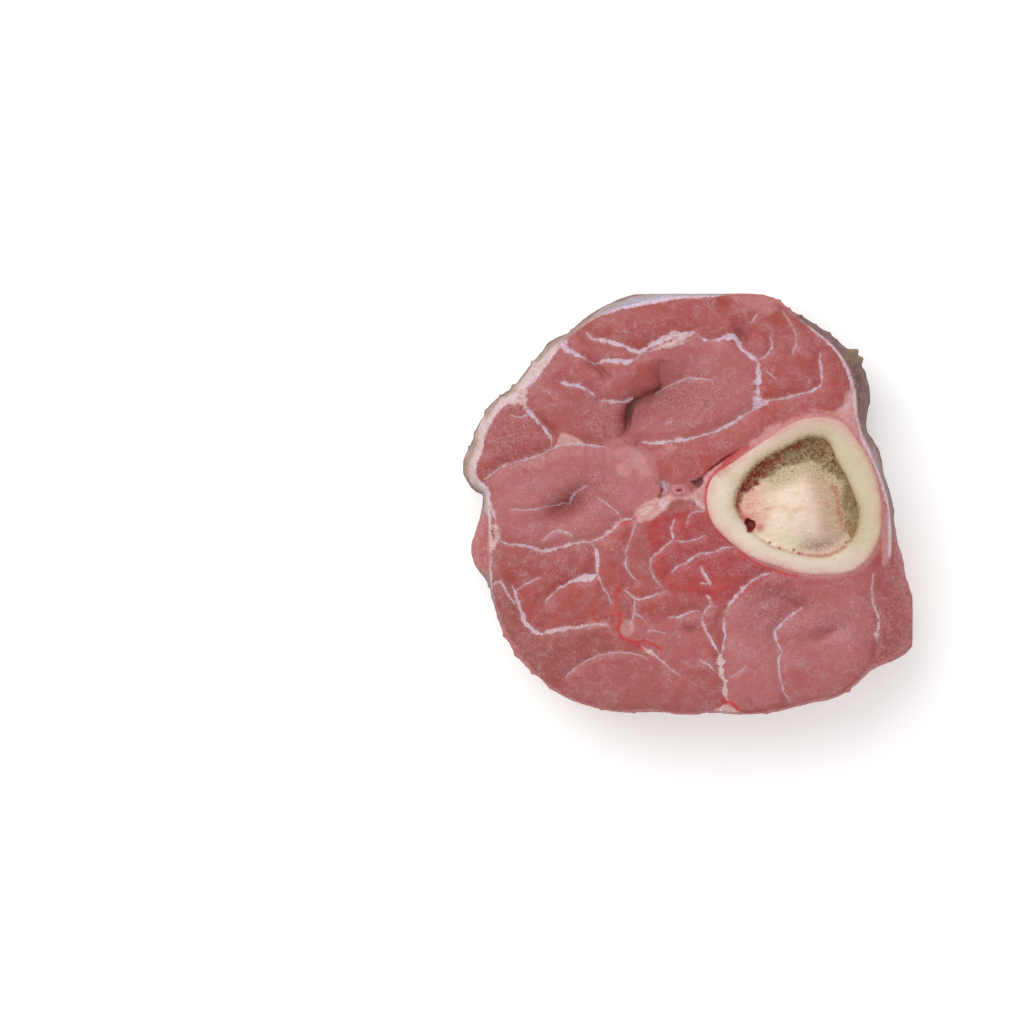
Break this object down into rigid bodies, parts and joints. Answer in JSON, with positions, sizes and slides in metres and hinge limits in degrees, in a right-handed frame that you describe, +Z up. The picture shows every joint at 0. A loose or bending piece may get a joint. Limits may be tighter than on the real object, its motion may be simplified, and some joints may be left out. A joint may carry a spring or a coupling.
{
  "type": "raw turkey osso buco",
  "caption": "Raw cross-cut slice of leg meat on the bone, with a sawn ring of bone round its marrow, lying on its lower cut face.",
  "frame": {"origin": "centre of the bounding box at the underside, on the lower cut face that the slice lies on", "axes": "+Z up through the thickness of the slice, +X along the upper cut face from the left muscle to the bone's side, +Y across the cut face"},
  "size_m": [0.1062, 0.0994, 0.0286],
  "materials": {
    "muscle": "moist satin",
    "bone": "sawn, slightly moist",
    "spongy_bone": "rough and porous",
    "marrow": "soft and fatty",
    "vessel": "moist",
    "nerve": "moist"
  },
  "bodies": {
    "root": {"meat": "muscle", "bone": "bone", "spongy_bone": "spongy_bone", "marrow": "marrow", "artery": "vessel", "nerve": "nerve"}
  },
  "joints": []
}
